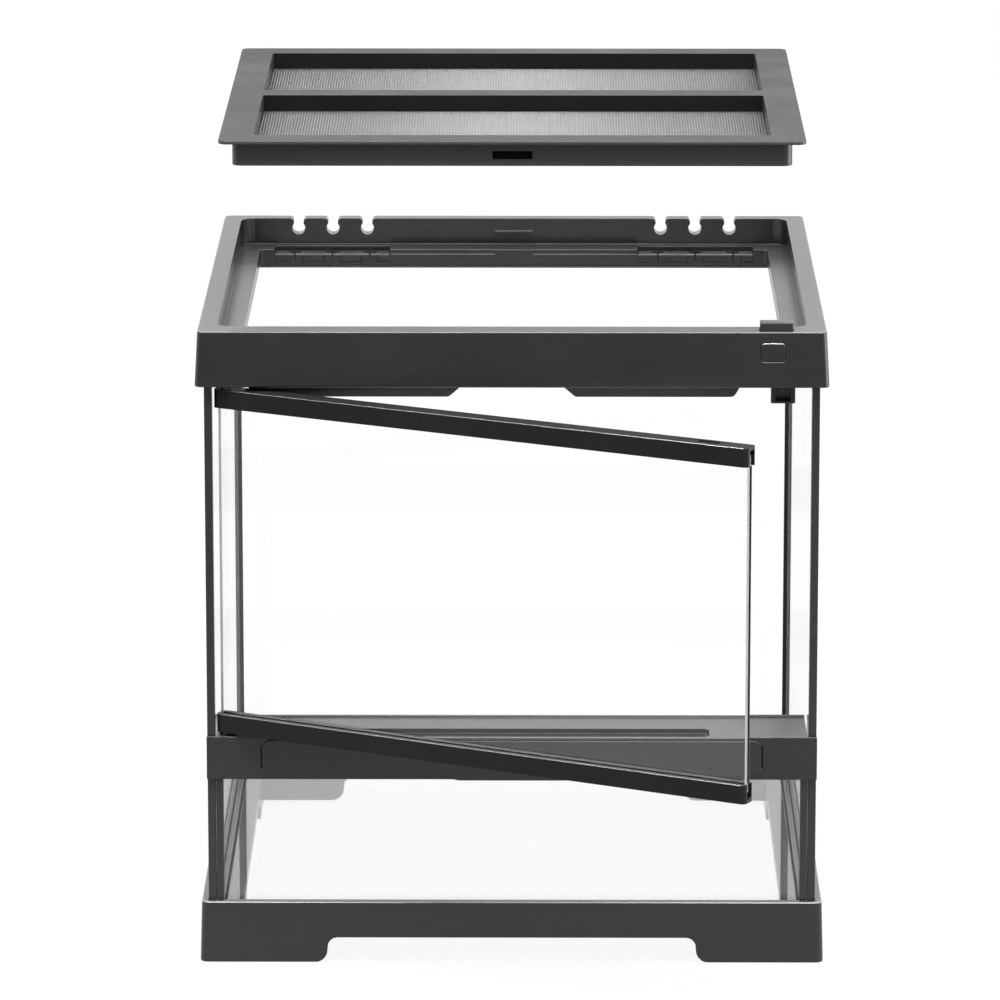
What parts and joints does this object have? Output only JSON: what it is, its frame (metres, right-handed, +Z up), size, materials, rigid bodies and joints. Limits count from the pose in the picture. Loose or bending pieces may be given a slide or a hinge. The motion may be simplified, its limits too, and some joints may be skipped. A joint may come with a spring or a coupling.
{
  "type": "glass terrarium",
  "caption": "Front-opening glass terrarium: plastic base and top frames, clear panes, a hinged glass door over a vented rail, a push latch and a lift-off mesh lid.",
  "frame": {"origin": "on the floor, at the middle of the whole object's box with the door as it stands at rest", "axes": "+X to the right as seen from the front, +Y to the back, +Z up"},
  "size_m": [0.315, 0.4421, 0.418],
  "materials": {
    "frame_plastic": "satin moulded",
    "dark_plastic": "satin moulded",
    "clear_glass": "polished",
    "soft_insert": "matt",
    "steel": "bright wire"
  },
  "bodies": {
    "tank": {"base_frame": "frame_plastic", "top_frame": "frame_plastic", "left_glass": "clear_glass", "right_glass": "clear_glass", "back_glass": "clear_glass", "post_front_left": "dark_plastic", "post_front_right": "dark_plastic", "post_back_left": "dark_plastic", "post_back_right": "dark_plastic", "front_low_glass": "clear_glass", "low_channel_left": "dark_plastic", "low_channel_right": "dark_plastic", "floor_glass": "clear_glass", "mid_rail": "frame_plastic", "front_fascia": "frame_plastic", "vent_grille": "dark_plastic", "cable_gate_left": "soft_insert", "cable_gate_right": "soft_insert", "latch_bracket": "dark_plastic", "top_hinge_bush": "dark_plastic", "bottom_hinge_bush": "dark_plastic"},
    "door": {"door_glass": "clear_glass", "door_top_rail": "dark_plastic", "door_bottom_rail": "dark_plastic", "top_hinge_pin": "steel", "bottom_hinge_pin": "steel"},
    "lid": {"lid_frame": "frame_plastic", "lid_mesh_front": "steel", "lid_mesh_rear": "steel", "mesh_retainer_front": "dark_plastic", "mesh_retainer_rear": "dark_plastic"},
    "latch_bolt": {"latch_bolt": "dark_plastic"},
    "latch_button": {"latch_button": "frame_plastic"}
  },
  "joints": [
    {"name": "door_swing", "type": "hinge", "parent": "tank", "child": "door", "pos_m": [-0.1425, -0.08441, 0.2], "axis": [0, 0, -1], "range_deg": [-27.3, 72.7]},
    {"name": "lid_lift", "type": "slide", "parent": "tank", "child": "lid", "axis": [0, 0, 1], "range_m": [-0.093, 0.05]},
    {"name": "latch_slide", "type": "slide", "parent": "tank", "child": "latch_bolt", "axis": [0, 0, 1], "range_m": [-0.0032, 0], "stiffness_N_per_m": 100, "springref_m": 0.002},
    {"name": "button_press", "type": "slide", "parent": "tank", "child": "latch_button", "axis": [0, 1, 0], "range_m": [0, 0.0015], "stiffness_N_per_m": 150, "springref_m": -0.001}
  ]
}
